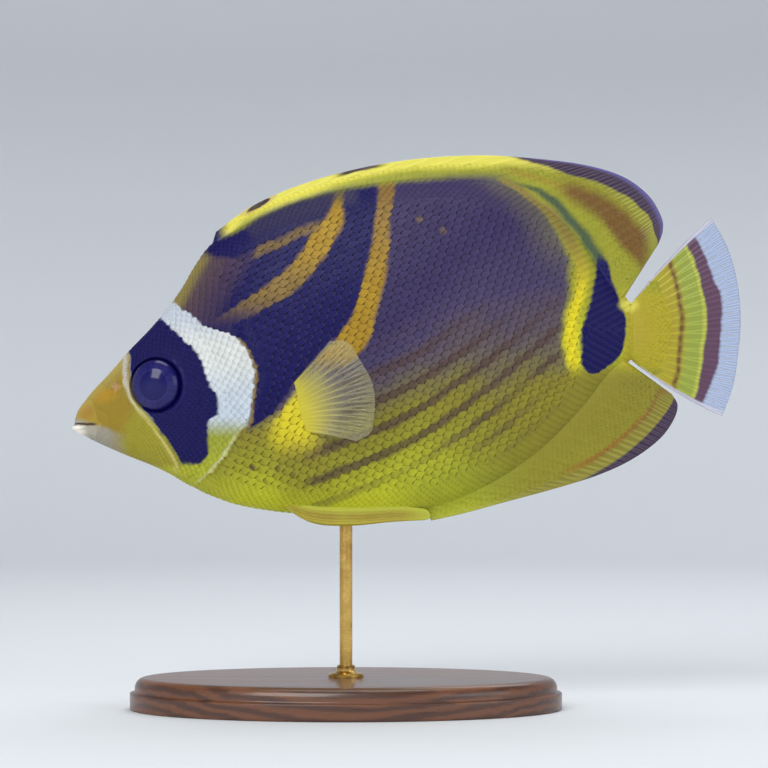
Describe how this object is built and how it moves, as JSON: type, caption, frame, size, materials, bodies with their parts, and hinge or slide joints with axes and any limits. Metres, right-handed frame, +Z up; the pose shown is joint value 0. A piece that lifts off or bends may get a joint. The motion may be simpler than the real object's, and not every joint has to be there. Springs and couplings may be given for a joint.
{
  "type": "raccoon butterflyfish display model",
  "caption": "Life-size model of a deep, flat-sided reef fish with a dark eye mask, slanting shoulder bars and yellow fins, held swimming over an oval base by a short rod.",
  "frame": {"origin": "on the underside of the stand's base, below the middle of the fish's length and in its plane of symmetry", "axes": "the fish looks along -X, +Y is its right side, +Z is up"},
  "size_m": [0.1672, 0.0674, 0.1385],
  "materials": {
    "head_skin": "scaly skin, pale with a black mask, satin varnish",
    "body_skin": "scaly skin, dusky flank over a yellow belly, satin varnish",
    "yellow_fin": "thin fin web over raised rays",
    "clear_fin": "clear web over pale rays",
    "pelvic_fin": "folded fin, ochre",
    "eye": "high gloss",
    "wood": "dark satin",
    "brass": "brushed"
  },
  "bodies": {
    "root": {"head": "head_skin", "torso": "body_skin", "tail_stem": "body_skin", "eye_left": "eye", "eye_right": "eye", "dorsal_fin": "yellow_fin", "anal_fin": "yellow_fin", "tail_fin": "yellow_fin", "pectoral_fin_left": "clear_fin", "pectoral_fin_right": "clear_fin", "pelvic_fin_left": "pelvic_fin", "pelvic_fin_right": "pelvic_fin", "stand_base": "wood", "stand_rod": "brass"}
  },
  "joints": []
}
